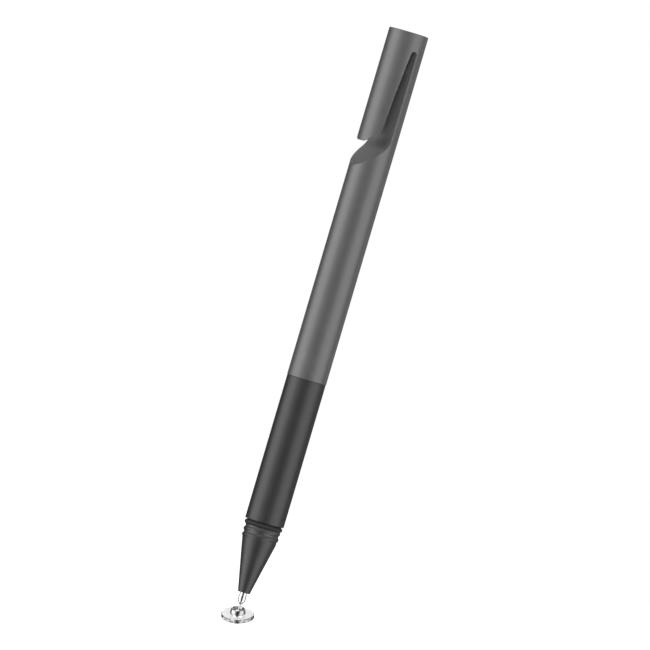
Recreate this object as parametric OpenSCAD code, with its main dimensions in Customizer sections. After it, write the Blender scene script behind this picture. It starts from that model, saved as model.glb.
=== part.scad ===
// Stylus pen with a clear disc on a ball joint and a pocket clip cut out of its barrel.
// The pen stands on its tip along +Z, its clip faces -Y, and the disc's lowest point is at z = 0.
// A drop is a distance down from the barrel's flat top.

/* [Barrel] */
// Outside diameter of the barrel
barrel_d = 8.8; // [8.4:0.1:10]
// Length of the barrel, from its flat top to the seam with the grip
barrel_len = 78.6; // [65:0.1:95]
// Edge break turned on both ends of the barrel
barrel_break = 0.15; // [0.05:0.01:0.4]
// Diameter of the blind bore that lightens the barrel
barrel_bore_d = 5; // [3:0.1:5.6]
// Solid metal left between the clip's cut and the blind bore
bore_roof = 3.5; // [2:0.1:10]

/* [Pocket clip] */
// Drop of the slot's round upper end
slot_drop = 3.9; // [2.5:0.1:8]
// Width of the slot at its upper end
slot_w = 1.45; // [1:0.05:2]
// Depth of the slot's back wall, from the clip's face
slot_back = 5.15; // [4.6:0.05:5.8]
// Drop of the tongue's free end
tongue_drop = 25.4; // [20:0.1:32]
// Thickness of the tongue just above its bevelled end
tongue_t = 2.34; // [1.8:0.02:2.8]
// Bow of the tongue's inner face, inward from a straight line
tongue_bow = 0.13; // [0:0.01:0.3]
// Angle between the pen's axis and the bevel that leads a pocket's edge in
tongue_bevel = 33; // [25:1:45]
// Radius of the tongue's tip
tongue_tip_r = 0.45; // [0.2:0.05:0.7]
// Length of the blend between the bevel and the tongue's inner face
tongue_blend = 1.1; // [0.4:0.1:1.6]
// Distance from the tongue's end up to where the back wall starts to bend outward
bend_rise = 2.2; // [1:0.1:5]
// Radius of that bend
bend_r = 5; // [3:0.1:7]
// Angle between the pen's axis and the run-out below the bend
runout_angle = 41.5; // [35:0.5:55]
// Radius that softens the run-out's outer edge
runout_edge_r = 1; // [0.3:0.1:2]

/* [Grip] */
// Outside diameter of the grip sleeve
grip_d = 8.68; // [8.3:0.02:9.6]
// Length of the grip sleeve
grip_len = 32.3; // [24:0.1:45]
// Edge break on both ends of the sleeve
grip_break = 0.12; // [0.05:0.01:0.3]

/* [Spindle] */
// Diameter of the spindle under the sleeve
core_d = 6.8; // [6.5:0.05:7.2]
// Diameter of the upper spigot, which screws into the barrel
core_top_d = 6; // [5.8:0.05:6.3]
// Length of the upper spigot
core_top_len = 9; // [6:0.1:14]
// Diameter of the lower spigot, which screws into the nose cone
core_low_d = 4.4; // [3.6:0.05:4.8]
// Length of the lower spigot
core_low_len = 6.4; // [4:0.1:6.8]
// Edge break on the spindle's ends
core_break = 0.4; // [0.1:0.05:0.6]
// Width of the relief turned at the root of each spigot
relief_w = 0.8; // [0.4:0.1:1.2]
// Depth of that relief
relief_t = 0.35; // [0.1:0.05:0.5]
// Spare depth past the end of each spigot
end_gap = 0.6; // [0.2:0.1:1]
// Gap at the spindle's lower shoulder, so that the nose clamps the sleeve
clamp_gap = 0.1; // [0.05:0.01:0.2]

/* [Nose cone] */
// Diameter of the thin flange above the seal
flange_d = 7.8; // [7.4:0.02:8.4]
// Thickness of that flange
flange_t = 0.12; // [0.1:0.02:0.6]
// Crest diameter of the cap's thread
thread_d = 8.08; // [7.6:0.02:8.4]
// Length of the land that carries the thread
thread_len = 2.72; // [1.5:0.02:5]
// Diameter at the top of the cone
cone_d = 7.66; // [7.2:0.02:7.8]
// Length of the cone
cone_len = 11.9; // [9.5:0.1:16]
// Diameter of the cone's small end
mouth_d = 2.66; // [2.3:0.02:3.2]
// Edge break at the cone's small end
mouth_break = 0.08; // [0.02:0.01:0.15]

/* [Cap seal] */
// Outside diameter of the seal ring
seal_d = 8.5; // [8.1:0.02:8.6]
// Thickness of the seal ring
seal_t = 1.04; // [0.8:0.02:1.2]

/* [Tip pin] */
// Diameter of the pin's shank
pin_d = 1.48; // [1.2:0.02:1.6]
// Largest diameter of the pin's bullet
belly_d = 1.7; // [1.62:0.02:2]
// Length over which the shank swells to the bullet
flare_len = 0.9; // [0.4:0.05:1.5]
// Length of the bullet's straight part
belly_len = 0.42; // [0.2:0.02:1]
// Length of the bullet's rounded nose
ogive_len = 1.35; // [1:0.05:2]
// Distance from the bullet's end to the ball's centre
neck_reach = 1.83; // [1.8:0.01:2.6]
// Diameter of the neck
neck_d = 0.44; // [0.36:0.02:0.5]
// Diameter of the ball
ball_d = 1.2; // [1.04:0.02:1.26]
// Outside diameter of the bush that carries the pin
bush_d = 2.4; // [2.1:0.05:2.6]
// Length of the bush
bush_len = 4.4; // [3:0.1:4.6]
// Width of the driver's slot in the bush
driver_w = 0.5; // [0.3:0.05:0.7]
// Depth of that slot
driver_depth = 0.8; // [0.4:0.05:1.2]

/* [Ball joint] */
// Running gap on both sides of the liner
run_gap = 0.02; // [0.01:0.005:0.04]
// Wall of the liner
liner_wall = 0.14; // [0.1:0.01:0.16]
// Half angle of the liner's opening round the neck
liner_open = 48; // [42:1:55]
// Width of the slots between the liner's fingers
liner_slot_w = 0.12; // [0.06:0.01:0.2]
// Number of fingers
liner_fingers = 4; // [3:1:6]
// Largest tilt of the disc from the pen's axis
tilt_max = 35; // [25:1:36]
// Spare angle between the neck and the hub's mouth at that tilt
mouth_spare = 1.2; // [0.5:0.1:3]
// Wall of the hub's dome, outside the liner
hub_wall = 0.93; // [0.8:0.01:1.2]
// Diameter of the hub's shank in the disc
hub_shank_d = 2.6; // [2.3:0.02:3]
// Recess of the shank's end above the disc's underside
hub_inset = 0.05; // [0.02:0.01:0.1]
// Thickness of the snap ring
ring_t = 0.1; // [0.06:0.01:0.12]
// Radial width of the snap ring
ring_w = 0.2; // [0.14:0.01:0.26]
// Gap cut in the snap ring, as an angle
ring_cut = 40; // [20:1:70]

/* [Disc] */
// Diameter of the clear disc
disc_d = 7.2; // [5.5:0.1:9]
// Thickness of the clear disc
disc_t = 0.9; // [0.88:0.01:1.3]
// Edge break round both rims of the disc
disc_break = 0.12; // [0.05:0.01:0.3]
// Depth of the disc's upper face below the ball's centre
disc_below = 0.1; // [0.08:0.01:0.3]
// Tilt of the disc from the pen's axis at rest
rest_tilt = 28; // [0:1:35]
// Direction in which the disc's upper face leans at rest
lean_azimuth = -63.1; // [-180:0.1:180]

/* [Fits] */
// Radial gap of a screwed or pressed seat
seat_gap = 0.02; // [0.01:0.005:0.04]
// Overrun of a cutting shape past the surface that it cuts
overrun = 1; // [0.5:0.1:2]

/* [Hidden] */
$fn = 96;
arc_steps = 12;
right_angle = 90;
full_turn = 360;
drill_half_angle = 59;
graphite = [0.30, 0.30, 0.31];
black = [0.16, 0.16, 0.17];
rubber = [0.08, 0.08, 0.08];
brass = [0.72, 0.58, 0.32];
chrome = [0.80, 0.81, 0.83];
ivory = [0.90, 0.88, 0.82];
clear = [0.86, 0.90, 0.92, 0.45];

// Radii
barrel_r = barrel_d / 2;
bore_r = barrel_bore_d / 2;
grip_r = grip_d / 2;
core_r = core_d / 2;
core_top_r = core_top_d / 2;
core_low_r = core_low_d / 2;
seal_wire_r = seal_t / 2;
seal_mid_r = seal_d / 2 - seal_wire_r;
pin_r = pin_d / 2;
belly_r = belly_d / 2;
neck_r = neck_d / 2;
bush_r = bush_d / 2;
disc_r = disc_d / 2;
hub_shank_r = hub_shank_d / 2;

// Ball joint, from the ball outward
ball_r = ball_d / 2;
liner_in_r = ball_r + run_gap;
liner_out_r = liner_in_r + liner_wall;
cavity_r = liner_out_r + run_gap;
hub_r = cavity_r + hub_wall;
mouth_half = tilt_max + asin(neck_r / cavity_r) + mouth_spare;
disc_base = disc_below + disc_t;
// The snap ring stands just inside the liner's widest circle, above it by what keeps the running gap
ring_in_r = liner_out_r - run_gap / 2;
ring_low = sqrt(pow(cavity_r, 2) - pow(ring_in_r, 2)) + run_gap;
ring_seat = seat_gap / 2;

// Heights, from the disc's lowest point up
ball_z = disc_base * cos(rest_tilt) + (disc_r - disc_break) * sin(rest_tilt);
ogive_z = ball_z + neck_reach;
belly_z = ogive_z + ogive_len;
mouth_z = belly_z + belly_len + flare_len;
thread_z = mouth_z + cone_len;
groove_len = seal_t + 2 * seat_gap;
groove_z = thread_z + thread_len;
flange_z = groove_z + groove_len;
nose_z = flange_z + flange_t;
seam_z = nose_z + grip_len;
top_z = seam_z + barrel_len;

// Inner depths
core_socket_z = seam_z + core_top_len + end_gap;
nose_socket_z = nose_z - core_low_len - end_gap;
bush_top_z = nose_socket_z - end_gap / 2;
bush_low_z = bush_top_z - bush_len;

// The clip's cut, as points of [depth from the clip's face, drop]
slot_end_r = slot_w / 2;
tip_centre = [0, tongue_drop - tongue_tip_r];
tip_tangent = tip_centre + tongue_tip_r * [cos(tongue_bevel), sin(tongue_bevel)];
bevel_way = [sin(tongue_bevel), -cos(tongue_bevel)];
bevel_top = tip_tangent + (tongue_t - tip_tangent.x) / bevel_way.x * bevel_way;
tongue_root = [slot_back - slot_w, slot_drop + slot_end_r];
root_way = (tongue_root - bevel_top) / norm(tongue_root - bevel_top);
blend_low = bevel_top - tongue_blend * bevel_way;
blend_high = bevel_top + tongue_blend * root_way;
bow_point = (blend_high + tongue_root) / 2 - 2 * tongue_bow * [-root_way.y, root_way.x];
bend_drop = tongue_drop - bend_rise;
bend_centre = [slot_back - bend_r, bend_drop];
bend_end = bend_centre + bend_r * [cos(runout_angle), sin(runout_angle)];
runout_drop = bend_end.y + bend_end.x / tan(runout_angle);
edge_centre = [runout_edge_r, runout_drop + runout_edge_r * tan(runout_angle / 2)];
clip_cut = concat(
    [[-overrun, tongue_drop]],
    arc(tip_centre, tongue_tip_r, right_angle, tongue_bevel),
    curve(blend_low, bevel_top, blend_high),
    curve(blend_high, bow_point, tongue_root),
    arc([slot_back - slot_end_r, tongue_root.y], slot_end_r, 2 * right_angle, full_turn),
    arc(bend_centre, bend_r, 0, runout_angle),
    arc(edge_centre, runout_edge_r, 2 * right_angle + runout_angle, 2 * right_angle),
    [[-overrun, edge_centre.y]]
);
bore_end_z = top_z - edge_centre.y - bore_roof;

// Points of an arc round a centre, from one angle to another
function arc(centre, r, from, to) = [
    for (i = [0 : arc_steps])
        let (a = from + (to - from) * i / arc_steps) centre + r * [cos(a), sin(a)]
];

// Points of a smooth curve that leaves p along p-q and arrives at s along q-s
function curve(p, q, s) = [
    for (i = [0 : arc_steps])
        let (t = i / arc_steps) pow(1 - t, 2) * p + 2 * t * (1 - t) * q + pow(t, 2) * s
];

// Outline of the bullet's rounded nose, as [radius, height]: an arc that starts along the pen's axis
ogive_drop_r = belly_r - neck_r;
ogive_r = (pow(ogive_len, 2) + pow(ogive_drop_r, 2)) / (2 * ogive_drop_r);
function ogive() = arc([belly_r - ogive_r, belly_z], ogive_r, 0, -asin(ogive_len / ogive_r));

// A shape turned on the pen's axis from an outline of [radius, height]
module turned(outline) {
    rotate_extrude() polygon(outline);
}

// Places children round the ball's centre, with +Z along the disc's own axis at rest
module on_disc() {
    translate([0, 0, ball_z])
        rotate(a = rest_tilt, v = [-sin(lean_azimuth), cos(lean_azimuth), 0])
            children();
}

module barrel() {
    color(graphite)
    difference() {
        turned([
            [0, top_z],
            [barrel_r - barrel_break, top_z],
            [barrel_r, top_z - barrel_break],
            [barrel_r, seam_z + barrel_break],
            [barrel_r - barrel_break, seam_z],
            [core_top_r + seat_gap, seam_z],
            [core_top_r + seat_gap, core_socket_z],
            [bore_r, core_socket_z],
            [bore_r, bore_end_z - bore_r / tan(drill_half_angle)],
            [0, bore_end_z]
        ]);
        clip_slot();
    }
}

// The straight cut through the barrel that leaves the tongue standing as a pocket clip
module clip_slot() {
    rotate([right_angle, 0, right_angle])
        linear_extrude(barrel_d + 2 * overrun, center = true)
            polygon([for (p = clip_cut) [p.x - barrel_r, top_z - p.y]]);
}

module grip_sleeve() {
    color(black)
    turned([
        [core_r + seat_gap, seam_z],
        [grip_r - grip_break, seam_z],
        [grip_r, seam_z - grip_break],
        [grip_r, nose_z + grip_break],
        [grip_r - grip_break, nose_z],
        [core_r + seat_gap, nose_z]
    ]);
}

module grip_core() {
    low_z = nose_z + clamp_gap;
    color(brass)
    turned([
        [0, seam_z + core_top_len],
        [core_top_r - core_break, seam_z + core_top_len],
        [core_top_r, seam_z + core_top_len - core_break],
        [core_top_r, seam_z + relief_w],
        [core_top_r - relief_t, seam_z + relief_w],
        [core_top_r - relief_t, seam_z],
        [core_r, seam_z],
        [core_r, low_z],
        [core_low_r - relief_t, low_z],
        [core_low_r - relief_t, low_z - relief_w],
        [core_low_r, low_z - relief_w],
        [core_low_r, nose_z - core_low_len + core_break],
        [core_low_r - core_break, nose_z - core_low_len],
        [0, nose_z - core_low_len]
    ]);
}

module nose_cone() {
    flange_r = flange_d / 2;
    thread_r = thread_d / 2;
    cone_r = cone_d / 2;
    mouth_r = mouth_d / 2;
    groove_r = seal_mid_r - seal_wire_r - seat_gap;
    color(black)
    turned([
        [core_low_r + seat_gap, nose_z],
        [flange_r, nose_z],
        [flange_r, flange_z],
        [groove_r, flange_z],
        [groove_r, groove_z],
        [thread_r - mouth_break, groove_z],
        [thread_r, groove_z - mouth_break],
        [thread_r, thread_z + thread_r - cone_r],
        [cone_r, thread_z],
        [mouth_r, mouth_z + mouth_break],
        [mouth_r - mouth_break, mouth_z],
        [pin_r + seat_gap, mouth_z],
        [pin_r + seat_gap, bush_low_z],
        [bush_r + seat_gap, bush_low_z],
        [bush_r + seat_gap, nose_socket_z],
        [core_low_r + seat_gap, nose_socket_z]
    ]);
}

module cap_seal() {
    color(rubber)
    translate([0, 0, groove_z + groove_len / 2])
        rotate_extrude() translate([seal_mid_r, 0]) circle(seal_wire_r);
}

module tip_bush() {
    color(brass)
    difference() {
        turned([
            [pin_r + seat_gap / 2, bush_low_z],
            [bush_r, bush_low_z],
            [bush_r, bush_top_z],
            [pin_r + seat_gap / 2, bush_top_z]
        ]);
        translate([-driver_w / 2, -bush_d / 2 - overrun, bush_top_z - driver_depth])
            cube([driver_w, bush_d + 2 * overrun, driver_depth + overrun]);
    }
}

module tip_pin() {
    shank_top_z = bush_top_z - driver_depth;
    color(chrome) {
        turned(concat(
            [
                [0, shank_top_z],
                [pin_r, shank_top_z],
                [pin_r, mouth_z],
                [belly_r, mouth_z - flare_len]
            ],
            ogive(),
            [[0, ogive_z]]
        ));
        translate([0, 0, ball_z]) cylinder(h = neck_reach, r = neck_r);
        translate([0, 0, ball_z]) sphere(ball_r);
    }
}

module ball_liner() {
    open_h = liner_out_r + overrun;
    color(ivory)
    translate([0, 0, ball_z])
    difference() {
        sphere(liner_out_r);
        sphere(liner_in_r);
        cylinder(h = open_h, r1 = 0, r2 = open_h * tan(liner_open));
        for (i = [0 : liner_fingers - 1])
            rotate(full_turn * i / liner_fingers)
                translate([0, -liner_slot_w / 2, 0])
                    cube([liner_out_r + overrun, liner_slot_w, liner_out_r + overrun]);
    }
}

module snap_ring() {
    color(chrome)
    on_disc()
        rotate_extrude(angle = full_turn - ring_cut)
            translate([ring_in_r, ring_low + ring_seat]) square([ring_w, ring_t]);
}

module disc_hub() {
    mouth_h = hub_r + overrun;
    shank_len = disc_t - hub_inset;
    color(chrome)
    on_disc()
    difference() {
        union() {
            difference() {
                sphere(hub_r);
                translate([0, 0, -disc_below - hub_r]) cylinder(h = hub_r, r = hub_r + overrun);
            }
            translate([0, 0, -disc_below - shank_len])
                cylinder(h = shank_len + disc_below, r = hub_shank_r);
        }
        sphere(cavity_r);
        cylinder(h = mouth_h, r1 = 0, r2 = mouth_h * tan(mouth_half));
        translate([0, 0, ring_low])
            cylinder(h = ring_t + 2 * ring_seat, r = ring_in_r + ring_w + seat_gap);
    }
}

module clear_disc() {
    color(clear)
    on_disc()
        turned([
            [hub_shank_r + ring_seat, -disc_below],
            [disc_r - disc_break, -disc_below],
            [disc_r, -disc_below - disc_break],
            [disc_r, -disc_base + disc_break],
            [disc_r - disc_break, -disc_base],
            [hub_shank_r + ring_seat, -disc_base]
        ]);
}

barrel();
grip_sleeve();
grip_core();
nose_cone();
cap_seal();
tip_bush();
tip_pin();
ball_liner();
snap_ring();
disc_hub();
clear_disc();
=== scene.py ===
# %% [markdown]
# # A stylus pen, dressed for its picture
# The pen is a slim metal tube with a pocket clip cut out of its own wall. Below the tube come a
# black grip, a black nose cone with the thread for a cap, and a bright pin. The pin ends in a small
# ball, and on the ball hangs a clear disc that lies flat on a touch screen at any angle of the pen.
#
# The CAD model arrives here as a fixed frame: eleven solids on four bodies, in metres. This
# lesson keeps their places and sizes. It gives each visible solid a finer skin with the small radii
# and the thread that the solids leave out, and then the metals, the rubber and the plastics.

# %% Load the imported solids
import math

import bmesh
import bpy
import numpy as np
from mathutils import Matrix, Vector, kdtree


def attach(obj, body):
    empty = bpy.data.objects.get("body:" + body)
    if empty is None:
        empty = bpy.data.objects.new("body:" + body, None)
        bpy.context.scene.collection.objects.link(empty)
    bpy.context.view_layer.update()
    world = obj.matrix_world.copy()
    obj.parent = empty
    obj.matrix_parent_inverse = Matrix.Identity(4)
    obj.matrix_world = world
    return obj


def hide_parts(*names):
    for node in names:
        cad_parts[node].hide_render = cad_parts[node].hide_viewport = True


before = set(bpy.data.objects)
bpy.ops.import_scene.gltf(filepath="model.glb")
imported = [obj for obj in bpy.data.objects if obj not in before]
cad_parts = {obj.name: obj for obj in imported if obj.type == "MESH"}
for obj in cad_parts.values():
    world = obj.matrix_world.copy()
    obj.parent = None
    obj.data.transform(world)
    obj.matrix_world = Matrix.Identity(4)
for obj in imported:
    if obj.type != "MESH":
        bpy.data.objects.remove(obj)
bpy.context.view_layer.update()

print("solids:", ", ".join(sorted(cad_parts)))

# %% [markdown]
# ## Heights along the pen
# Everything is turned on one axis, so a few radii and a stack of heights place every piece. They
# could be measured on the solids, but the CAD source has them as named values, so the same values
# stand here, in millimetres. MM turns them into Blender's metres. Building the stack from the tip
# upward keeps the pieces seated on each other.

# %% Stack up the heights
MM = 0.001
barrel_r, grip_r, flange_r, thread_r, cone_r, mouth_r = 4.4, 4.34, 3.9, 4.04, 3.83, 1.33
seal_wire_r, seal_mid_r = 0.52, 3.73
pin_r, belly_r, neck_r, ball_r = 0.74, 0.85, 0.22, 0.6
hub_r, cavity_r, hub_shank_r = 1.71, 0.78, 1.3
disc_r, disc_t, disc_below, disc_break = 3.6, 0.9, 0.1, 0.12
rest_tilt, lean_azimuth = math.radians(28), math.radians(-63.1)
neck_reach, ogive_len, belly_len, flare_len = 1.83, 1.35, 0.42, 0.9
cone_len, thread_len, groove_len, flange_t = 11.9, 2.72, 1.08, 0.12
grip_len, barrel_len = 32.3, 78.6
seat_gap = 0.02

disc_base = disc_below + disc_t
ball_z = disc_base * math.cos(rest_tilt) + (disc_r - disc_break) * math.sin(rest_tilt)
ogive_z = ball_z + neck_reach
belly_z = ogive_z + ogive_len
mouth_z = belly_z + belly_len + flare_len
thread_z = mouth_z + cone_len
groove_z = thread_z + thread_len
flange_z = groove_z + groove_len
nose_z = flange_z + flange_t
seam_z = nose_z + grip_len
top_z = seam_z + barrel_len
print(f"ball {ball_z:.3f}, nose {nose_z:.3f}, seam {seam_z:.3f} and top {top_z:.3f} mm")

# %% [markdown]
# ## Outlines with small radii
# A turned part is drawn as half of its section: a row of points, each a radius and a height. A lathe
# tool never leaves a perfectly sharp corner, and a sharp edge catches no light in a render, so each
# corner carries a fillet of its own. A Bevel modifier could add them later, but with one width for
# all. So a helper swaps each corner for a short arc that touches both neighbouring lines.

# %% Draw arcs and soften corners
def arc(centre, radius, start, end, steps=24):
    """Points on an arc, from one angle to another in degrees."""
    turns = np.radians(np.linspace(start, end, steps + 1))
    return [(centre[0] + radius * math.cos(a), centre[1] + radius * math.sin(a)) for a in turns]


def curve(p, q, s, steps=24):
    """Points on a curve that leaves p towards q and arrives at s from q."""
    p, q, s = (np.array(v, float) for v in (p, q, s))
    steps_along = np.linspace(0, 1, steps + 1)
    return [tuple((1 - t) ** 2 * p + 2 * t * (1 - t) * q + t * t * s) for t in steps_along]


def soften(corners, steps=5):
    """Turns corners given as (radius, height, fillet) into an outline with arcs at the corners."""
    outline = []
    for i, (r, z, fillet) in enumerate(corners):
        if fillet == 0 or i in (0, len(corners) - 1):
            outline.append((r, z))
            continue
        here = np.array([r, z])
        back = np.array(corners[i - 1][:2]) - here
        ahead = np.array(corners[i + 1][:2]) - here
        back, ahead = back / np.linalg.norm(back), ahead / np.linalg.norm(ahead)
        half = math.acos(float(back @ ahead)) / 2
        middle = here + (back + ahead) / np.linalg.norm(back + ahead) * fillet / math.sin(half)
        first = here + back * fillet / math.tan(half) - middle
        last = here + ahead * fillet / math.tan(half) - middle
        for t in np.linspace(0, 1, steps + 1):
            spoke = first * (1 - t) + last * t
            outline.append(tuple(middle + spoke / np.linalg.norm(spoke) * fillet))
    return outline


square_corner = soften([(0, 0, 0), (1, 0, 0.1), (1, 1, 0)])
print("a softened corner has", len(square_corner[1:-1]), "points")

# %% [markdown]
# ## From rings of points to a piece
# Most of the pen's skins are rings of vertices. Edit Mode's Bridge Edge Loops could join two rings,
# but a script does it the same way for all. Then the piece is finished: its faces turn outward,
# and a Weighted Normal modifier keeps the long walls straight in the reflections while the fillets
# stay round. Each piece rides on its body, so that it moves with the solid it stands for.

# %% Join rings into faces and finish a piece
sharp_from = math.radians(38)


def bridged(pairs, count):
    """Faces between pairs of rings with count vertices; a ring of one vertex closes to a point."""
    faces = []
    for low, high in pairs:
        for i in range(count):
            j = (i + 1) % count
            face = [low[i % len(low)], low[j % len(low)], high[j % len(high)], high[i % len(high)]]
            faces.append(list(dict.fromkeys(face)))
    return faces


def finish_mesh(name, verts, faces, body, place=None):
    """Makes the object, turns its faces outward, shades it and lets it ride on its body."""
    mesh = bpy.data.meshes.new(name)
    mesh.from_pydata([tuple(v) for v in verts], [], faces)
    if place:
        mesh.transform(place)
    work = bmesh.new()
    work.from_mesh(mesh)
    bmesh.ops.recalc_face_normals(work, faces=work.faces)
    work.to_mesh(mesh)
    work.free()
    mesh.shade_smooth()
    mesh.set_sharp_from_angle(angle=sharp_from)
    piece = bpy.data.objects.new(name, mesh)
    bpy.context.scene.collection.objects.link(piece)
    weighted = piece.modifiers.new("Even normals", "WEIGHTED_NORMAL")
    weighted.keep_sharp = True
    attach(piece, body)
    print(f"{name}: {len(mesh.vertices)} points, {len(mesh.polygons)} faces")
    return piece


print("walls meet in a sharp edge from", round(math.degrees(sharp_from)), "degrees")

# %% [markdown]
# ## Turning an outline into a mesh
# The real pieces are turned on a lathe. Blender's Screw modifier could spin the outline too, but rings
# of vertices made directly give control over three things: the single point where an outline meets
# the axis, a closed ring section such as a seal, and a radius that changes round the turn, which the
# thread will need.

# %% Spin an outline round the pen's axis
usual_segments = 160


def turned(name, outline, body, segments=usual_segments, closed=False, place=None, swell=None):
    """A turned piece from (radius, height) points in mm; swell(angle, z, r) adds to a radius."""
    turns = np.arange(segments) * math.tau / segments
    verts, rings = [], []
    for r, z in outline:
        if r == 0:
            rings.append([len(verts)])
            verts.append((0, 0, z))
            continue
        rings.append(list(range(len(verts), len(verts) + segments)))
        for a in turns:
            grown = r + (swell(a, z, r) if swell else 0)
            verts.append((grown * math.cos(a), grown * math.sin(a), z))
    pairs = list(zip(rings, rings[1:])) + ([(rings[-1], rings[0])] if closed else [])
    return finish_mesh(name, np.array(verts) * MM, bridged(pairs, segments), body, place)


print("a turned piece has", usual_segments, "points round, where it says nothing else")

# %% [markdown]
# ## Grip sleeve
# The grip is a plain black sleeve that slides over the brass spindle and is clamped between the
# barrel and the nose. A cylinder with a bevel would look much like it, but its two ends differ: the
# one at the barrel makes the thin dark line of the seam and is rounder. So it is turned from an
# outline, which gives each end its own radius.

# %% Turn the grip sleeve
core_r, grip_nose_round, grip_seam_round = 3.4, 0.06, 0.1
grip_bore_r = core_r + seat_gap
grip = turned("grip_skin", soften([
    (grip_bore_r, nose_z, 0), (grip_r, nose_z, grip_nose_round),
    (grip_r, seam_z, grip_seam_round), (grip_bore_r, seam_z, 0),
    (grip_bore_r, nose_z, 0),
]), "pen")
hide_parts("grip_sleeve")

# %% [markdown]
# ## Nose cone and its thread
# The cap screws onto about two turns of thread just below the seal. A thread could be a ridge swept
# along a helix, but it would have to be joined to the cone. Here the radius itself is a wave of
# height and angle together: going up one pitch, or once round, meets the same crest again. The wave
# fades out above the cone and ends at the groove of the seal. The solid has a plain land at the
# crest's diameter, and the ridges are cut down from it.

# %% Shape the thread as a wave of height and angle
thread_pitch, thread_depth, ridge_power = 1.355, 0.29, 0.85
crest_drop, crest_azimuth = 113.14, math.radians(-124)
crest_z = top_z - crest_drop
thread_start_z, thread_full_z = thread_z - 0.2, thread_z + 0.35
least_land_r = 3.5


def fade(value, start, end):
    """Rises smoothly from 0 at start to 1 at end."""
    t = min(max((value - start) / (end - start), 0), 1)
    return t * t * (3 - 2 * t)


def thread_swell(angle, z, r):
    """Change of radius on the threaded land: 0 at the crest, and down to the root between crests."""
    if not thread_start_z < z < groove_z or r < least_land_r:
        return 0
    turns = (z - crest_z) / thread_pitch - (angle - crest_azimuth) / math.tau
    ridge = (0.5 + 0.5 * math.cos(math.tau * turns)) ** ridge_power
    root = -thread_depth * fade(z, thread_start_z, thread_full_z)
    return root * (1 - ridge)


print(f"thread: {(groove_z - thread_z) / thread_pitch:.1f} turns of {thread_pitch} mm")

# %% [markdown]
# The nose is one turned part: a thin flange, the groove that holds the seal, the threaded land and
# the long cone down to the pin. Booleans could cut the groove and the bores, but one closed outline
# gives them with no stray edges. Its wall is closed on the inside too, with the socket for the
# spindle and the narrow bore for the pin, so that it stays a real part when seen on its own.

# %% Turn the nose cone
core_low_r, core_low_len, end_gap, bush_r, bush_len = 2.2, 6.4, 0.6, 1.2, 4.4
nose_break, cone_round, mouth_round = 0.05, 0.3, 0.1
land_inset, land_break, land_low, land_step = 0.1, 0.12, 0.25, 0.045
cone_start = 0.02

groove_floor = seal_mid_r - seal_wire_r - seat_gap
socket_r, bush_bore_r, pin_bore_r = core_low_r + seat_gap, bush_r + seat_gap, pin_r + seat_gap
nose_socket_z = nose_z - core_low_len - end_gap
bush_top_z = nose_socket_z - end_gap / 2
bush_low_z = bush_top_z - bush_len
land_heights = np.arange(groove_z - land_break, thread_z + land_low, -land_step)
nose = turned("nose_skin", soften([
    (socket_r, nose_z, 0), (flange_r, nose_z, nose_break), (flange_r, flange_z, nose_break),
    (groove_floor, flange_z, nose_break), (groove_floor, groove_z, nose_break),
    (thread_r - land_inset, groove_z, 0), *[(thread_r, z, 0) for z in land_heights],
    (cone_r, thread_z - cone_start, cone_round), (mouth_r, mouth_z, mouth_round),
    (pin_bore_r, mouth_z, 0), (pin_bore_r, bush_low_z, 0), (bush_bore_r, bush_low_z, 0),
    (bush_bore_r, nose_socket_z, 0), (socket_r, nose_socket_z, 0), (socket_r, nose_z, 0),
]), "pen", segments=224, swell=thread_swell)
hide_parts("nose_cone")

# %% [markdown]
# Shade falls in the roots of the thread and close under the overhanging seal, so the nose is painted
# paler there: painted light. A painted mask could say where, but it would need an unwrapped mesh. The
# script knows the place of each vertex, so it stores a number there by which the finish will scale its
# tone: about 1 on the cone and more in the thread.

# %% Paint light into the thread's shade on the nose
cone_shade, land_shade, root_shade, seal_shade = 1.06, 0.08, 0.4, 1.1
pale_low, pale_rise, seal_reach, edge_slack = 0.26, 0.4, 0.6, 0.01


def store_painted_light(piece, shade):
    """Stores on each vertex the number of painted light and shade by which the finish scales its tone
    there.
    """
    mark = piece.data.attributes.new("painted_light_scale", "FLOAT", "POINT")
    mark.data.foreach_set("value", shade)


spots = np.array([v.co for v in nose.data.vertices]) / MM
reach, heights = np.hypot(spots[:, 0], spots[:, 1]), spots[:, 2]
on_land = (heights < groove_z + edge_slack) & (reach > least_land_r)
threaded = np.clip((heights - thread_z - pale_low) / pale_rise, 0, 1) * on_land
into_root = np.clip((thread_r - reach) / thread_depth, 0, 1)
near_seal = np.clip(1 - (groove_z - heights) / seal_reach, 0, 1)
# Painted light: the thread's roots and the land close under the seal are lightened where the seal's
# shade falls.
store_painted_light(nose, cone_shade + threaded * (land_shade + root_shade * into_root + seal_shade * near_seal))
print(int((threaded > 0).sum()), "vertices in the thread")

# %% [markdown]
# ## Seal ring
# The rubber ring above the thread grips the mouth of the cap. It sits in the groove and stands a
# little proud of the thread. Blender has a torus ready-made, but a real moulded ring has a fine line
# round its widest part, about a hundredth of a millimetre high, where the halves of the mould met. A
# turned section can have that line as a tiny bump.

# %% Turn the seal ring
mould_line, mould_line_spread, section_step = 0.012, 0.1, 7.5
seal_z = (flange_z + groove_z) / 2
section = []
for a in np.radians(np.arange(0, 360, section_step)):
    bump = mould_line * math.exp(-((math.remainder(a, math.tau) / mould_line_spread) ** 2))
    wire = seal_wire_r - mould_line + bump
    section.append((seal_mid_r + wire * math.cos(a), seal_z + wire * math.sin(a)))
seal = turned("seal_skin", section, "pen", closed=True)
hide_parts("cap_seal")

# %% [markdown]
# ## Pin and ball
# The pin swells below the nose, rounds off like a bullet and thins to a neck that carries the ball.
# It is one piece of polished steel, and a cone and a sphere pushed together would show a seam in such
# a mirror. So it is one outline of arcs and curves. The neck meets the bullet and the ball in small
# radii, because a sharp inside corner there would break in use.

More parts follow.
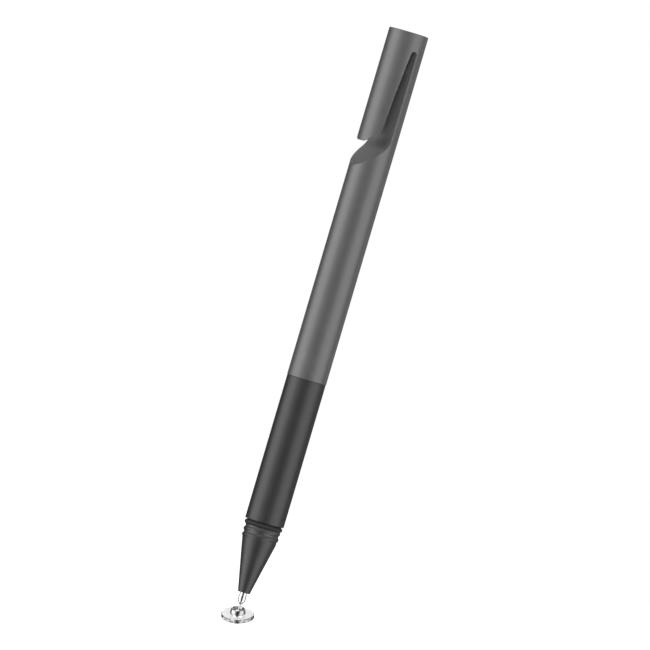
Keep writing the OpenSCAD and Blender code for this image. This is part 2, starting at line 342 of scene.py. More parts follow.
# %% Turn the pin with its ball
driver_depth, shank_break = 0.8, 0.08
flare_start, flare_round, belly_rise, belly_round = 0.1, 1.5, 0.3, 0.6
bullet_share, ball_start = 0.93, 5
bullet_blend = [(0.055, 0.075), (0, -0.02), (0, -0.12)]
ball_blend = [(0, 0.06), (0, 0.01), (0.03, -0.012)]


def neck_curve(z, blend, steps):
    """A small curve on the neck, by steps in radius and height from the neck's wall at z."""
    return curve(*[(neck_r + out, z + rise) for out, rise in blend], steps)


shank_top_z = bush_top_z - driver_depth
shank = soften([
    (0, shank_top_z, 0), (pin_r, shank_top_z, shank_break), (pin_r, mouth_z - flare_start, flare_round),
    (belly_r, belly_z + belly_rise, belly_round), (belly_r, belly_z, 0),
], steps=8)
bullet_drop = belly_r - neck_r
bullet_r = (ogive_len ** 2 + bullet_drop ** 2) / (2 * bullet_drop)
bullet_turn = math.degrees(math.asin(ogive_len / bullet_r))
ball_join = math.acos(neck_r / ball_r)
pin = turned("pin_skin", [
    *shank[:-1],
    *arc((belly_r - bullet_r, belly_z), bullet_r, 0, -bullet_turn * bullet_share, 28),
    *neck_curve(ogive_z, bullet_blend, 6),
    *neck_curve(ball_z + ball_r * math.sin(ball_join), ball_blend, 4),
    *arc((0, ball_z), ball_r, math.degrees(ball_join) - ball_start, -90, 40)[1:-1],
    (0, ball_z - ball_r),
], "pen", segments=96)
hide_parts("tip_pin")

# %% [markdown]
# ## The frame of the tilted disc
# The disc, its hub and the snap ring share one axis that leans from the pen's axis and passes through
# the ball's centre. They are turned upright like the rest, with the ball's centre at height 0, and one
# matrix then lays them on that axis. An object could be rotated instead, but a piece stays at the
# origin of the shared frame, so the matrix goes into the mesh.

# %% Make the matrix that leans the disc
lean_axis = Vector((-math.sin(lean_azimuth), math.cos(lean_azimuth), 0))
on_disc = Matrix.Translation((0, 0, ball_z * MM)) @ Matrix.Rotation(rest_tilt, 4, lean_axis)
print("disc axis:", [round(v, 4) for v in on_disc.to_3x3() @ Vector((0, 0, 1))])

# %% [markdown]
# ## Ball hub
# The hub is a bright dome with an open mouth. The neck moves in the mouth when the disc tilts, and
# the ball turns in the hollow below it, behind a plastic liner that a snap ring holds in. A sphere
# with a hole cut in it would have a hard lip. The outline rounds the lip outside, runs down the
# mouth's cone and round the hollow, and lets the dome end in a narrow foot on the disc.

# %% Turn the hub
tilt_max, mouth_spare, hub_inset = 35, 1.2, 0.05
shank_round, foot_inset, foot_turn = 0.06, 0.06, 1.5
lip_turn, lip_depth, lip_pull, mouth_low_share, cavity_turn = 2.6, 0.11, 0.012, 0.15, 4
mouth_half = math.radians(tilt_max + math.degrees(math.asin(neck_r / cavity_r)) + mouth_spare)


def on_mouth(distance):
    """The point on the mouth's cone at a distance from the ball's centre."""
    return math.sin(mouth_half) * distance, math.cos(mouth_half) * distance


shank_low = hub_inset - disc_base
dome_top, dome_foot = 90 - math.degrees(mouth_half), -math.degrees(math.asin(disc_below / hub_r))
dome = arc((0, 0), hub_r, dome_foot + foot_turn, dome_top - lip_turn, 48)
lip_in = hub_r - lip_depth
hub = turned("hub_skin", [
    *soften([
        (0, shank_low, 0), (hub_shank_r, shank_low, shank_round), (hub_shank_r, -disc_below, 0),
    ]),
    (hub_r - foot_inset, -disc_below), *dome,
    *curve(dome[-1], on_mouth(hub_r + lip_pull), on_mouth(lip_in), 8)[1:],
    on_mouth(cavity_r + mouth_low_share * (lip_in - cavity_r)),
    *arc((0, 0), cavity_r, dome_top - cavity_turn, -90, 40)[:-1], (0, -cavity_r),
], "disc", place=on_disc)
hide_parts("disc_hub")

# %% [markdown]
# ## Clear disc
# The disc is a polished plate of clear plastic with the hub's shank through its middle. A plain
# cylinder would do if it were opaque. But light enters at its faces and leaves through its rim, so the
# rim needs real fillets top and bottom: they draw the thin bright and dark lines round the edge. A
# closed section with a hole keeps the shank visible.

# %% Turn the clear disc
disc_round, disc_bore_r = 0.16, hub_shank_r + seat_gap / 2
disc = turned("disc_skin", soften([
    (disc_bore_r, -disc_below, 0), (disc_r, -disc_below, disc_round),
    (disc_r, -disc_base, disc_round), (disc_bore_r, -disc_base, 0),
    (disc_bore_r, -disc_below, 0),
], steps=8), "disc", segments=224, place=on_disc)
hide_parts("clear_disc")

# %% [markdown]
# ## Barrel: the cut that makes the clip
# The clip isn't a separate part. One straight cut through the tube leaves a tongue standing, and the
# barrel's own wall is the spring. A boolean would cut it, but it leaves edges with no radius, so the
# cut is described by its outline first. The outline has two numbers for each point: the depth from
# the clip's face and the drop from the flat top. It runs round the tongue's tip, up its inner face,
# round the closed end of the slot, down the back wall and out along a ramp.

# %% Draw the outline of the cut
slot_drop, slot_w, slot_back = 3.9, 1.45, 5.15
tongue_drop, tongue_t, tongue_bow, tongue_blend = 25.4, 2.34, 0.13, 1.1
tongue_tip_r, tip_depth, tip_spare = 0.35, 0.16, 0.03
bevel_angle, ramp_angle, bend_r, bend_rise, edge_r = 33, 41.5, 5, 2.2, 1
overrun, wall_run = 1, 3

bevel, ramp, slot_end_r = math.radians(bevel_angle), math.radians(ramp_angle), slot_w / 2
tip = np.array([tip_depth, tongue_drop + tip_spare - tongue_tip_r])
bevel_way = np.array([math.sin(bevel), -math.cos(bevel)])
tip_end = tip + tongue_tip_r * np.array([math.cos(bevel), math.sin(bevel)])
bevel_top = tip_end + (tongue_t - tip_end[0]) / bevel_way[0] * bevel_way
root = np.array([slot_back - slot_w, slot_drop + slot_end_r])
root_way = (root - bevel_top) / np.linalg.norm(root - bevel_top)
blend_low, blend_high = bevel_top - tongue_blend * bevel_way, bevel_top + tongue_blend * root_way
bow = (blend_high + root) / 2 - 2 * tongue_bow * np.array([-root_way[1], root_way[0]])
bend = np.array([slot_back - bend_r, tongue_drop - bend_rise])
bend_end = bend + bend_r * np.array([math.cos(ramp), math.sin(ramp)])
ramp_drop = bend_end[1] + bend_end[0] / math.tan(ramp)
edge = (edge_r, ramp_drop + edge_r * math.tan(ramp / 2))
cut = np.array([
    (-overrun, tip[1] + tongue_tip_r), *arc(tip, tongue_tip_r, 90, bevel_angle),
    *curve(blend_low, bevel_top, blend_high), *curve(blend_high, bow, root)[1:],
    *arc((slot_back - slot_end_r, root[1]), slot_end_r, 180, 360)[1:],
    *arc(bend, bend_r, 0, ramp_angle), *arc(edge, edge_r, 180 + ramp_angle, 180),
    (0, edge[1] + wall_run),
])
print(f"the cut is {edge[1] - slot_drop:.2f} mm tall and reaches {slot_back} mm deep")

# %% [markdown]
# To bring a vertex onto the cut, the script must know how far away the cut's wall is and which way
# it faces. Testing each line and arc of the outline in turn would be slow to write and to run.
# Samples every fiftieth of a millimetre along the outline go into a k-d tree instead, which finds the
# nearest one quickly. Each sample keeps its normal, pointing from the metal into the cut, so one dot
# product gives a distance that is negative in metal and positive in air.

# %% Sample the outline and its normals
sample_step = 0.02
samples, facings = [], []
for a, b in zip(cut, cut[1:]):
    length = np.linalg.norm(b - a)
    along = (b - a) / length
    for t in np.arange(0, length, sample_step):
        samples.append(a + along * t)
        facings.append((-along[1], along[0]))
samples, facings = np.array(samples), np.array(facings)
tree = kdtree.KDTree(len(samples))
for i, (depth, drop) in enumerate(samples):
    tree.insert((depth, drop, 0), i)
tree.balance()
print(len(samples), "samples on the cut's outline")

# %% [markdown]
# ## Rounding an edge between two surfaces
# On the real barrel the edges of the cut are only just broken. A bevel modifier fails on them,
# because the edge between the tube and the cut runs across hundreds of narrow faces at an angle that
# changes all the way. A distance rule handles it: with the distances to two surfaces and their
# normals known, a ball of the fillet's radius rolls along the edge from inside. The rule below is
# exact for flat surfaces at any angle and gives the direction in which to move a vertex too.

# %% The rolling-ball rule
tiny = 1e-9


def rounded_edge(a, na, b, nb, radius):
    """Distance and direction for metal inside both surfaces, with a rounded edge between them."""
    u, v = a + radius, b + radius
    c = (na * nb).sum(1)
    spread = np.maximum(1 - c * c, tiny)
    ka, kb = (u - c * v) / spread, (v - c * u) / spread
    near_edge = (ka > 0) & (kb > 0)
    reach = ka[:, None] * na + kb[:, None] * nb
    far = np.maximum(np.linalg.norm(reach, axis=1), tiny)
    distance = np.where(near_edge, far - radius, np.maximum(a, b))
    flat = np.where((a > b)[:, None], na, nb)
    return distance, np.where(near_edge[:, None], reach / far[:, None], flat)


east, north = np.array([(1.0, 0, 0)]), np.array([(0, 1.0, 0)])
corner_gap, _ = rounded_edge(np.zeros(1), east, np.zeros(1), north, 1)
print(f"a square corner stands {corner_gap[0]:.3f} mm outside a 1 mm fillet")

# %% [markdown]
# The barrel's outside is two such edges. The tube's wall meets the flat top in a soft edge, and what
# they make together meets the cut in a fine one. A shape made of booleans and bevels could not be asked
# where its surface is, but this rule can be asked for any point, and that is what the next cells need.
# Far from the cut's wall the nearest sample is only a rough guide, so its plain distance is enough.

# %% Measure the distance to the finished barrel
edge_round, top_round, wall_reach = 0.06, 0.22, 0.6


def barrel_distance(p):
    """Distance and direction from points in mm to the barrel's finished outside."""
    across = np.maximum(np.hypot(p[:, 0], p[:, 1]), tiny)
    wall_way = np.stack([p[:, 0] / across, p[:, 1] / across, np.zeros(len(p))], 1)
    top_way = np.tile((0.0, 0.0, 1.0), (len(p), 1))
    body, body_way = rounded_edge(across - barrel_r, wall_way, p[:, 2] - top_z, top_way, top_round)
    depth, drop = p[:, 1] + barrel_r, top_z - p[:, 2]
    hits = [tree.find((d, s, 0))[1] for d, s in zip(depth, drop)]
    gap = np.stack([depth, drop], 1) - samples[hits]
    level = (gap * facings[hits]).sum(1)
    away = np.linalg.norm(gap, axis=1)
    level = np.where(away > wall_reach, np.sign(level) * away, level)
    way = facings[hits]
    cut_way = np.stack([np.zeros(len(p)), way[:, 0], -way[:, 1]], 1)
    return rounded_edge(body, body_way, level, cut_way, edge_round)


middle_gap, middle_way = barrel_distance(np.array([(barrel_r + 1, 0, (seam_z + top_z) / 2)]))
print(f"a point 1 mm off the tube: distance {middle_gap[0]:.3f} mm, direction {middle_way[0]}")

# %% [markdown]
# ## Barrel: the skin over the clip
# The upper part of the barrel starts from the CAD solid, which has the clip already. Its faces round
# the clip are long slivers, though, and more subdivision would only make more of them. A voxel remesh
# gives it even faces instead, and a flat cut below the ramp leaves one clean ring.

# %% Remesh the upper part of the barrel
ring_drop, grid_size = 33, 0.1
ring_z = top_z - ring_drop
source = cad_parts["barrel"].data.copy()
grid = bpy.data.objects.new("barrel_grid", source)
bpy.context.scene.collection.objects.link(grid)
remesh = grid.modifiers.new("Even faces", "REMESH")
remesh.mode = "VOXEL"
remesh.voxel_size = grid_size * MM
remesh.use_smooth_shade = True
bpy.context.view_layer.update()
even = bpy.data.meshes.new_from_object(grid.evaluated_get(bpy.context.evaluated_depsgraph_get()))
bpy.data.objects.remove(grid)
work = bmesh.new()
work.from_mesh(even)
bmesh.ops.bisect_plane(work, geom=work.verts[:] + work.edges[:] + work.faces[:],
                       dist=1e-6, plane_co=(0, 0, ring_z * MM), plane_no=(0, 0, 1), clear_inner=True)
loose = [v for v in work.verts if not v.link_faces]
bmesh.ops.delete(work, geom=loose, context="VERTS")
work.to_mesh(even)
work.free()
print("upper barrel:", len(even.vertices), "points")

# %% [markdown]
# The remeshed surface is a little uneven and its edges are ragged. Blender's smoothing would even it
# out, but take the edges with it. So each pass here moves a vertex towards the mean of its neighbours
# only along the surface, and then brings it back onto the finished shape. The faces spread evenly
# along the fillets, and the last passes only settle them.

# %% Settle the upper part onto the finished surface
smooth_passes, settle_passes, smooth_share, ring_slack = 10, 3, 0.5, 1e-3
points = np.zeros(len(even.vertices) * 3)
even.vertices.foreach_get("co", points)
points = points.reshape(-1, 3) / MM
links = np.zeros(len(even.edges) * 2, int)
even.edges.foreach_get("vertices", links)
links = links.reshape(-1, 2)
count = np.bincount(links.ravel(), minlength=len(points))[:, None]
ring = np.abs(points[:, 2] - ring_z) < ring_slack
for step in range(smooth_passes):
    mean = np.zeros_like(points)
    for axis in range(3):
        mean[:, axis] = (np.bincount(links[:, 0], points[links[:, 1], axis], len(points))
                         + np.bincount(links[:, 1], points[links[:, 0], axis], len(points)))
    slide = mean / count - points
    gap, way = barrel_distance(points)
    slide -= (slide * way).sum(1)[:, None] * way
    slide[ring] = 0
    points += smooth_share * slide - gap[:, None] * way
    points[ring, 2] = ring_z
for step in range(settle_passes):
    gap, way = barrel_distance(points)
    points -= gap[:, None] * way
gap, way = barrel_distance(points)
print(f"largest distance left: {np.abs(gap).max():.4f} mm")

# %% [markdown]
# Below the ring the barrel is a plain tube again. The grid could go on to the seam, but long straight
# faces shade better there than any grid. So rings of vertices carry the same loop down to the seam,
# round its edge, and up inside: first the socket that takes the spindle, then the blind bore that
# makes the pen light. The rule's direction is the true normal of every vertex above the ring, and
# the outline gives the rest, so the barrel is shaded by those normals and no trace of the grid shows.

# %% Run the ring down to the seam and up the bore
core_top_r, core_top_len, bore_r, bore_roof, drill_half = 3, 9, 2.5, 3.5, math.radians(59)
seam_round, socket_round, step_round, drill_round = 0.14, 0.1, 0.05, 0.1
core_bore_r, core_socket_z = core_top_r + seat_gap, seam_z + core_top_len + end_gap
bore_end_z = top_z - edge[1] - bore_roof
lower = soften([
    (barrel_r, ring_z, 0), (barrel_r, seam_z, seam_round), (core_bore_r, seam_z, socket_round),
    (core_bore_r, core_socket_z, 0), (bore_r, core_socket_z, step_round),
    (bore_r, bore_end_z - bore_r / math.tan(drill_half), drill_round), (0, bore_end_z, 0),
])

loop = np.nonzero(ring)[0]
loop = loop[np.argsort(np.arctan2(points[loop, 1], points[loop, 0]))]
turns = np.arctan2(points[loop, 1], points[loop, 0])
verts, ways, rows = list(points), list(way), [list(loop)]
for k, (r, z) in enumerate(lower[1:], 1):
    before, after = lower[k - 1], lower[min(k + 1, len(lower) - 1)]
    along = np.array(after) - before
    out, rise = np.array([-along[1], along[0]]) / np.linalg.norm(along)
    rows.append([len(verts)] if r == 0 else list(range(len(verts), len(verts) + len(loop))))
    for a in turns[:len(rows[-1])]:
        verts.append((r * math.cos(a), r * math.sin(a), z))
        ways.append((out * math.cos(a), out * math.sin(a), rise) if r else (0, 0, -1))
faces = [list(f.vertices) for f in even.polygons] + bridged(zip(rows, rows[1:]), len(loop))
barrel = finish_mesh("barrel_skin", np.array(verts) * MM, faces, "pen")
barrel.modifiers.clear()
barrel.data.normals_split_custom_set_from_vertices([tuple(w) for w in ways])
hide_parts("barrel")

# %% [markdown]
# The slot's walls lie deep in shade, and the open ramp below it faces up into more light than the tube
# does. Each could have a material of its own, but the change between them is gradual. So a number on
# each vertex again tells the finish how to scale its tone, as painted light and painted shade: 1 on the
# tube, about 2 deep in the slot to lighten its shade, and under 1 on the ramp to darken it. Both grow
# with the depth below the tube's surface.

# %% Paint light and shade into the cut faces of the clip
slot_painted_light, ramp_painted_shade, full_depth, slot_from, slot_past, change_len = 1.08, 0.36, 0.15, 3, 0.5, 4
verts = np.array(verts)
drops = top_z - verts[:, 2]
below_wall = np.clip((barrel_r - np.hypot(verts[:, 0], verts[:, 1])) / full_depth, 0, 1)
in_slot = np.clip((tongue_drop + slot_past - drops) / change_len, 0, 1) * (drops > slot_from)
on_ramp = np.clip((drops - tongue_drop) / change_len, 0, 1) * (verts[:, 2] > ring_z)
# Painted light in the slot's shade and painted shade on the upturned ramp: this number lightens or
# darkens the tone.
painted_light_scale = 1 + below_wall * (slot_painted_light * in_slot - ramp_painted_shade * on_ramp)
store_painted_light(barrel, painted_light_scale)
print(f"the finish scales its tone by {painted_light_scale.min():.2f} to {painted_light_scale.max():.2f}")

# %% [markdown]
# ## Finishes from a few nodes
# Each metal, rubber or plastic of the pen has its own tone, gloss and grain. In Blender a finish is a
# material: one shader with a few nodes wired into it. They could be placed by hand in the Shader
# Editor, but the same steps come back in every finish, so four helpers do them here: start a material,
# set inputs by name, add a node, and lighten or darken a tone.

# %% Start a material and add nodes to it
def new_finish(name):
    """A new material with its nodes, its wires and its shader."""
    mat = bpy.data.materials.new(name)
    mat.use_nodes = True
    nodes = mat.node_tree.nodes
    return mat, nodes, mat.node_tree.links, nodes["Principled BSDF"]


def set_inputs(node, **values):
    """Sets a node's inputs by name, with an underscore for each space."""
    for name, value in values.items():
        node.inputs[name.replace("_", " ")].default_value = value


def add_node(nodes, kind, **values):
    """A new node of a kind, with its inputs set."""
    node = nodes.new("ShaderNode" + kind)
    set_inputs(node, **values)
    return node


def tinted(tone, scale=1):
    """An opaque colour: a tone, made lighter or darker by scale."""
    return tuple(c * scale for c in tone) + (1,)


print("a mid grey at half its tone:", tinted((0.5, 0.5, 0.5), 0.5))

# %% [markdown]
# ## Anodised and satin metal
# The barrel is aluminium, blasted with fine beads and anodised dark grey. Blasting leaves pits of a few
# hundredths of a millimetre, so it shines softly and in broad bands. The black parts are anodised too.
# Real pits in the mesh would take millions of faces. So both use one recipe: a metal whose roughness
# and tone drift slightly over the surface, and a fine bump for the pits. Where a piece carries painted
# light and shade, its number scales the tone.

# %% Write the recipe for blasted metal
pit_strength, cloud_size, tone_drift, gloss_drift = 0.35, 2.5, 0.06, 0.03


def blasted_metal(name, tone, metal, roughness, pit_size, pit_depth, edge_tint=1, use_painted_light=False):
    """Anodised metal with fine pits; sizes in mm. Optionally the stored number of painted light and
    shade scales the tone.
    """
    mat, nodes, wires, shader = new_finish(name)
    set_inputs(shader, Metallic=metal, Specular_Tint=tinted((edge_tint,) * 3))
    place = add_node(nodes, "TexCoord")
    pits = add_node(nodes, "TexNoise", Scale=1 / (pit_size * MM), Detail=3)
    bump = add_node(nodes, "Bump", Strength=pit_strength, Distance=pit_depth * MM)
    cloud = add_node(nodes, "TexNoise", Scale=1 / (cloud_size * MM), Detail=4)
    rough = add_node(nodes, "MapRange", To_Min=roughness - gloss_drift, To_Max=roughness + gloss_drift)
    colour = add_node(nodes, "Mix")
    colour.data_type = "RGBA"
    set_inputs(colour, A=tinted(tone, 1 - tone_drift), B=tinted(tone, 1 + tone_drift))
    wires.new(place.outputs["Object"], pits.inputs["Vector"])
    wires.new(place.outputs["Object"], cloud.inputs["Vector"])
    wires.new(pits.outputs["Fac"], bump.inputs["Height"])
    wires.new(cloud.outputs["Fac"], rough.inputs["Value"])
    wires.new(cloud.outputs["Fac"], colour.inputs["Factor"])
    wires.new(rough.outputs["Result"], shader.inputs["Roughness"])
    wires.new(colour.outputs["Result"], shader.inputs["Base Color"])
    wires.new(bump.outputs["Normal"], shader.inputs["Normal"])
    # Painted light and shade: the number stored on each vertex scales the tone.
    if use_painted_light:
        shade = add_node(nodes, "Attribute")
        shade.attribute_name = "painted_light_scale"
        scaled = add_node(nodes, "VectorMath")
        scaled.operation = "SCALE"
        wires.new(colour.outputs["Result"], scaled.inputs[0])
        wires.new(shade.outputs["Fac"], scaled.inputs["Scale"])
        wires.new(scaled.outputs["Vector"], shader.inputs["Base Color"])
    return mat


print(f"the tone drifts by {tone_drift:.0%} over patches of about {cloud_size} mm")

# %% [markdown]
# The grey barrel is less black than the grip and the nose, and its pits are larger. The black pieces
# could share one material, but the nose needs the number of painted light in its thread and the grip
# has none. A metal brightens towards its outline, but a black oxide layer swallows part of that light,
# so the black finish gets a dim edge tint.

# %% Mix the blasted metals
black_recipe = {
    "tone": (0.05, 0.05, 0.051), "metal": 0.66, "roughness": 0.40,
    "pit_size": 0.04, "pit_depth": 0.004, "edge_tint": 0.45,
}
grey_anodised = blasted_metal("grey_anodised", tone=(0.096, 0.096, 0.097), metal=0.42, roughness=0.38,
                              pit_size=0.05, pit_depth=0.006, use_painted_light=True)
black_anodised = blasted_metal("black_anodised", **black_recipe)
nose_anodised = blasted_metal("nose_anodised", **black_recipe, use_painted_light=True)
for piece, finish in ((barrel, grey_anodised), (grip, black_anodised), (nose, nose_anodised)):
    piece.data.materials.append(finish)
    print(piece.name, "->", finish.name, "with", len(finish.node_tree.nodes), "nodes")

# %% [markdown]
# ## Polished metal
# The pin, the ball and the hub are polished, so they mirror the studio and need almost no texture of
# their own. A bump would ripple the mirror, so only the roughness changes, in faint turning lines round
# the axis: a noise that is stretched across the pen and fine along it. The hub and its ring get a
# darker copy of the pin's steel, a painted shade that keeps them grey between two bright lamps.

# %% Mix the polished metals
line_stretch, gloss_swing = 0.05, 0.3


def polished_metal(name, tone, roughness, line_size):
    """Metal with faint turning lines round the pen's axis; line_size in mm."""
    mat, nodes, wires, shader = new_finish(name)
    set_inputs(shader, Metallic=1, Base_Color=tinted(tone))
    place = add_node(nodes, "TexCoord")
    squash = add_node(nodes, "Mapping", Scale=(line_stretch, line_stretch, 1))
    lines = add_node(nodes, "TexNoise", Scale=1 / (line_size * MM))
    rough = add_node(nodes, "MapRange", To_Min=roughness * (1 - gloss_swing),
                     To_Max=roughness * (1 + gloss_swing))
    wires.new(place.outputs["Object"], squash.inputs["Vector"])
    wires.new(squash.outputs["Vector"], lines.inputs["Vector"])
    wires.new(lines.outputs["Fac"], rough.inputs["Value"])
    wires.new(rough.outputs["Result"], shader.inputs["Roughness"])
    return mat


bright_steel = polished_metal("bright_steel", tone=(0.52, 0.52, 0.53), roughness=0.15, line_size=0.08)
# Painted shade: a darker copy of the pin's steel keeps the hub grey under the bright lamps.
hub_steel = polished_metal("hub_steel", tone=(0.36, 0.36, 0.365), roughness=0.17, line_size=0.08)
turned_brass = polished_metal("turned_brass", tone=(0.72, 0.50, 0.22), roughness=0.25, line_size=0.12)
pin.data.materials.append(bright_steel)
hub.data.materials.append(hub_steel)
print("polished:", bright_steel.name, hub_steel.name, turned_brass.name)

# %% [markdown]
# ## Rubber and bearing plastic
# The seal is matt rubber with a dusty bloom. The liner is a slippery ivory plastic that lets a little
# light in below its surface. One flat colour would look painted on both, so they share a recipe with
# a fine grain that changes the tone and raises a small bump.

# %% Mix the rubber and the liner's plastic
tone_swing, grain_strength = 0.15, 0.4


def moulded(name, tone, roughness, grain_size, grain_depth, **more):
    """A moulded surface with a fine grain; sizes in mm, and more inputs of the shader by name."""
    mat, nodes, wires, shader = new_finish(name)
    set_inputs(shader, Roughness=roughness, **more)
    place = add_node(nodes, "TexCoord")
    grain = add_node(nodes, "TexNoise", Scale=1 / (grain_size * MM), Detail=4)
    colour = add_node(nodes, "ValToRGB")
    colour.color_ramp.elements[0].color = tinted(tone, 1 - tone_swing)
    colour.color_ramp.elements[1].color = tinted(tone, 1 + tone_swing)
    bump = add_node(nodes, "Bump", Strength=grain_strength, Distance=grain_depth * MM)
    wires.new(place.outputs["Object"], grain.inputs["Vector"])
    wires.new(grain.outputs["Fac"], colour.inputs["Fac"])
    wires.new(colour.outputs["Color"], shader.inputs["Base Color"])
    wires.new(grain.outputs["Fac"], bump.inputs["Height"])
    wires.new(bump.outputs["Normal"], shader.inputs["Normal"])
    return mat


seal_rubber = moulded("seal_rubber", tone=(0.024, 0.024, 0.024), roughness=0.6,
                      grain_size=0.08, grain_depth=0.01, Specular_IOR_Level=0.15)
liner_plastic = moulded("liner_plastic", tone=(0.78, 0.76, 0.70), roughness=0.3,
                        grain_size=0.1, grain_depth=0.004,
                        Subsurface_Weight=0.1, Subsurface_Scale=0.3 * MM)
seal.data.materials.append(seal_rubber)
print("moulded:", seal_rubber.name, liner_plastic.name)

# %% [markdown]
# ## Clear plastic
# The disc is clear acrylic, which bends light a little less than glass. A Glass shader would do, but
# the same shader as everywhere else also carries the tint. A trace of grey keeps the disc from
# looking like empty air, and very fine polishing marks change its gloss here and there.

# %% Mix the clear plastic
acrylic_bend, mark_size, dullest = 1.49, 0.6, 0.05
clear_plastic, nodes, wires, shader = new_finish("clear_plastic")
set_inputs(shader, Base_Color=tinted((0.86, 0.865, 0.87)), Transmission_Weight=1, IOR=acrylic_bend)
place = add_node(nodes, "TexCoord")
marks = add_node(nodes, "TexNoise", Scale=1 / (mark_size * MM))
rough = add_node(nodes, "MapRange", To_Min=0, To_Max=dullest)
wires.new(place.outputs["Object"], marks.inputs["Vector"])
wires.new(marks.outputs["Fac"], rough.inputs["Value"])
wires.new(rough.outputs["Result"], shader.inputs["Roughness"])
disc.data.materials.append(clear_plastic)
print("clear plastic bends light by", acrylic_bend)

# %% [markdown]
# ## Finishes for the inner solids
# The spindle, the bush, the liner and the snap ring sit inside and keep their CAD shapes. They could
# keep plain colours as well, but they get real finishes all the same, because the liner and the ring
# can be glimpsed through the hub's mouth.

# %% Finish the inner solids
for name, mat in {
    "grip_core": turned_brass, "tip_bush": turned_brass,
    "ball_liner": liner_plastic, "snap_ring": hub_steel,
}.items():
    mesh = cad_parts[name].data
    mesh.materials.clear()
    mesh.materials.append(mat)
    print(name, "->", mat.name)

# %% [markdown]
# ## Floor
# The pen stands on its disc on a plain white floor. Lamps strong enough to make the floor white would
# also bleach the pen. So part of the floor's white is its own colour under the lamps, which is what
# keeps a soft shadow under the disc, and the camera sees the rest added.

# %% Lay the floor
floor_half, floor_glow = 1.2, 0.72


def flat_card(name, centre, across, up, material):
    """A flat stage card from its centre and two half sides, in metres."""
    c, a, u = Vector(centre), Vector(across), Vector(up)
    mesh = bpy.data.meshes.new(name)
    mesh.from_pydata([c - a - u, c + a - u, c + a + u, c - a + u], [], [[0, 1, 2, 3]])
    mesh.materials.append(material)
    card = bpy.data.objects.new(name, mesh)
    bpy.context.scene.collection.objects.link(card)
    return card


white_floor, nodes, wires, shader = new_finish("white_floor")
set_inputs(shader, Base_Color=tinted((0.8, 0.8, 0.8)), Roughness=0.9, Specular_IOR_Level=0,
           Emission_Color=tinted((1, 1, 1)))
path = add_node(nodes, "LightPath")
glow = add_node(nodes, "Math")
glow.operation = "MULTIPLY"
glow.inputs[1].default_value = floor_glow
wires.new(path.outputs["Is Camera Ray"], glow.inputs[0])
wires.new(glow.outputs[0], shader.inputs["Emission Strength"])
floor = flat_card("floor", (0, 0, 0), (floor_half, 0, 0), (0, floor_half, 0), white_floor)
floor.visible_glossy = floor.visible_transmission = False
print("floor:", 2 * floor_half, "m wide")

# %% [markdown]
# ## Camera
# The photograph looks at the pen level with it, from 56 degrees round to the right of the clip's face,
# and is rolled so that the pen leans. A long lens far away keeps the sides parallel. A Track To
# constraint could aim the camera, but not roll it. So its own axes are built from the direction back to
# it and the roll, and set as one matrix.

# %% Place the camera
back, up = Vector((0.8290, -0.5592, 0)), Vector((0, 0, 1))
right = Vector((-back.y, back.x, 0))
roll = math.radians(16.43)
aim_drop, aim_right = 66.05, 0.46
camera_distance, frame_width, sensor_width = 2.0, 0.14096, 36

cam_x = math.cos(roll) * right + math.sin(roll) * up
cam_y = -math.sin(roll) * right + math.cos(roll) * up
aim = up * (top_z - aim_drop) * MM + right * aim_right * MM
spot = aim + back * camera_distance
camera = bpy.data.objects.new("camera", bpy.data.cameras.new("camera"))
bpy.context.scene.collection.objects.link(camera)
camera.matrix_world = Matrix.Translation(spot) @ Matrix((cam_x, cam_y, back)).transposed().to_4x4()
camera.data.sensor_width = sensor_width
camera.data.lens = sensor_width * camera_distance / frame_width
camera.data.clip_start, camera.data.clip_end = 0.01, 20
bpy.context.scene.camera = camera
print("camera", round(math.degrees(math.atan2(back.x, -back.y))), "degrees round from the clip's face")

# %% [markdown]
# ## Soft boxes
# A polished or satin metal shows what stands round it, so the studio is built like a real one. Point
# lamps would leave hard dots on the tube, and area lamps leave broad soft bands. Each lamp is placed
# by its bearing from the camera, and its power is worked out from its size, so that a level of 1 looks
# as bright as the white room.

# %% Write the recipe for a soft box
studio_height = 0.07


def bearing(degrees):
    """Level direction at an angle from the camera's direction, positive to the camera's right."""
    a = math.radians(degrees)
    return back * math.cos(a) + right * math.sin(a)


def soft_box(name, degrees, distance, width, height, level):
    """A tall area lamp that faces the pen and looks as bright as level, where the room is 1."""
    lamp = bpy.data.lights.new(name, "AREA")
    lamp.shape = "RECTANGLE"
    lamp.size, lamp.size_y = width, height
    lamp.energy = level * math.pi * width * height
    box = bpy.data.objects.new(name, lamp)
    bpy.context.scene.collection.objects.link(box)
    box.location = bearing(degrees) * distance + up * studio_height
    box.rotation_euler = bearing(degrees).to_track_quat("Z", "Y").to_euler()
    box.visible_camera = False
    print(f"{name}: {degrees} degrees, {lamp.energy:.1f} W")
    return box


print("to the camera's right:", [round(v, 3) for v in bearing(90)])

# %% [markdown]
# ## Cloth and cards
# Photographers hang dark and grey cloth round shiny metal to draw its edges. In Blender a card with a
# plain dark colour would change with the lamps that fall on it. So each cloth here has no colour of
# its own and glows at one level instead. Ray visibility lets a card appear only in reflections or only
# through the plastic, so that it never shades the pen.

# %% Make the cloths and the cards
card_half_height = 1.8


def cloth(name, level):
    """Cloth that looks as bright as level from everywhere, where the room is 1."""
    mat, _, _, shader = new_finish(name)
    set_inputs(shader, Base_Color=tinted((0, 0, 0)), Specular_IOR_Level=0,
               Emission_Color=tinted((1, 1, 1)), Emission_Strength=level)
    return mat


def shown(card, in_metal, through_plastic):
    """Hides a card from everything but the reflections in metal or the view through the plastic."""
    card.visible_camera = card.visible_shadow = card.visible_diffuse = False
    card.visible_glossy, card.visible_transmission = in_metal, through_plastic


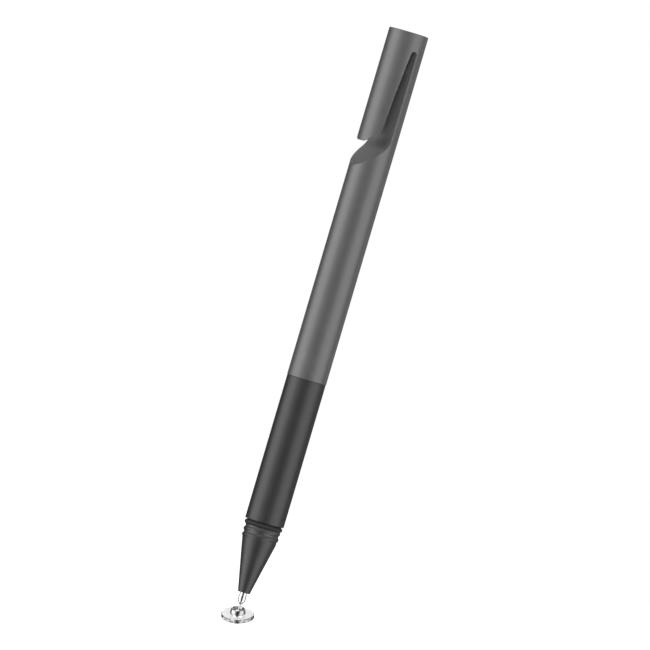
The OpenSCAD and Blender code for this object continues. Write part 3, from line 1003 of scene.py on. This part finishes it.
def standing_card(name, start, end, distance, material, in_metal=True, through_plastic=True):
    """A card that stands between two bearings round the pen."""
    middle, half = (start + end) / 2, math.radians(end - start) / 2
    card = flat_card(name, bearing(middle) * distance + up * studio_height,
                     bearing(middle + 90) * distance * math.tan(half), up * card_half_height, material)
    shown(card, in_metal, through_plastic)
    print(f"{name}: {start} to {end} degrees")


dark_cloth = cloth("dark_cloth", 0.04)
grey_cloth = cloth("grey_cloth", 0.5)
pale_cloth = cloth("pale_cloth", 0.8)
print("cloths:", dark_cloth.name, grey_cloth.name, pale_cloth.name)

# %% [markdown]
# ## Hanging the lamps and the cards
# The bands on the tube tell how it was lit: two tall soft boxes stand left and right of the camera,
# a little in front of the pen, and the room is white. A dark card on the camera's side makes the dark
# middle line, and dark cards behind the pen draw the edges. A third lamp on that side only fills the
# slot with light. A grey ceiling shades the top of the bright hub, and two grey cards farther behind
# give the clear rim its tone. Point lamps and reflectors could do much the same, but these few shapes
# are what the bands themselves show. The camera sees none of them directly.

# %% Hang the soft boxes and the dark cards
soft_box("box_left", -73, distance=0.6, width=0.6, height=3.4, level=2.1)
soft_box("box_right", 62, distance=0.6, width=0.6, height=3.4, level=1.3)
fill = soft_box("box_fill", 0, distance=0.9, width=0.6, height=1.6, level=3.6)
fill.visible_glossy = fill.visible_transmission = False
standing_card("card_front", -21, 21, distance=0.5, material=dark_cloth)
standing_card("card_left", -140, -114, distance=0.7, material=dark_cloth)
standing_card("card_right", 104, 124, distance=0.7, material=dark_cloth)
standing_card("card_rear", 140, 220, distance=0.7, material=dark_cloth, through_plastic=False)
standing_card("card_grey_left", -168, -140, distance=0.8, material=grey_cloth, in_metal=False)
standing_card("card_grey_right", 138, 168, distance=0.8, material=grey_cloth, in_metal=False)
ceiling_height, ceiling_half = 0.45, 1.5
ceiling = flat_card("ceiling", up * ceiling_height, (ceiling_half, 0, 0), (0, ceiling_half, 0),
                    pale_cloth)
shown(ceiling, in_metal=True, through_plastic=False)

# %% [markdown]
# ## Room light
# The room round the pen is plain white. At full strength it would light the pen from all sides and
# wash out the bands, so dull surfaces get only about a third of it. A Light Path node tells which kind
# of ray asks: the camera, a reflection and a view through the plastic all find the room fully white.

# %% Light the room
room_light = 0.35
world = bpy.data.worlds.new("white_room")
bpy.context.scene.world = world
world.use_nodes = True
nodes, wires = world.node_tree.nodes, world.node_tree.links
room = nodes["Background"]
set_inputs(room, Color=tinted((1, 1, 1)))
path = add_node(nodes, "LightPath")
seen, also = add_node(nodes, "Math"), add_node(nodes, "Math")
seen.operation = also.operation = "MAXIMUM"
level = add_node(nodes, "MapRange", To_Min=room_light, To_Max=1)
wires.new(path.outputs["Is Camera Ray"], seen.inputs[0])
wires.new(path.outputs["Is Glossy Ray"], seen.inputs[1])
wires.new(seen.outputs[0], also.inputs[0])
wires.new(path.outputs["Is Transmission Ray"], also.inputs[1])
wires.new(also.outputs[0], level.inputs["Value"])
wires.new(level.outputs["Result"], room.inputs["Strength"])
bpy.context.scene.view_settings.view_transform = "Standard"
print("dull surfaces get", room_light, "of the room's light")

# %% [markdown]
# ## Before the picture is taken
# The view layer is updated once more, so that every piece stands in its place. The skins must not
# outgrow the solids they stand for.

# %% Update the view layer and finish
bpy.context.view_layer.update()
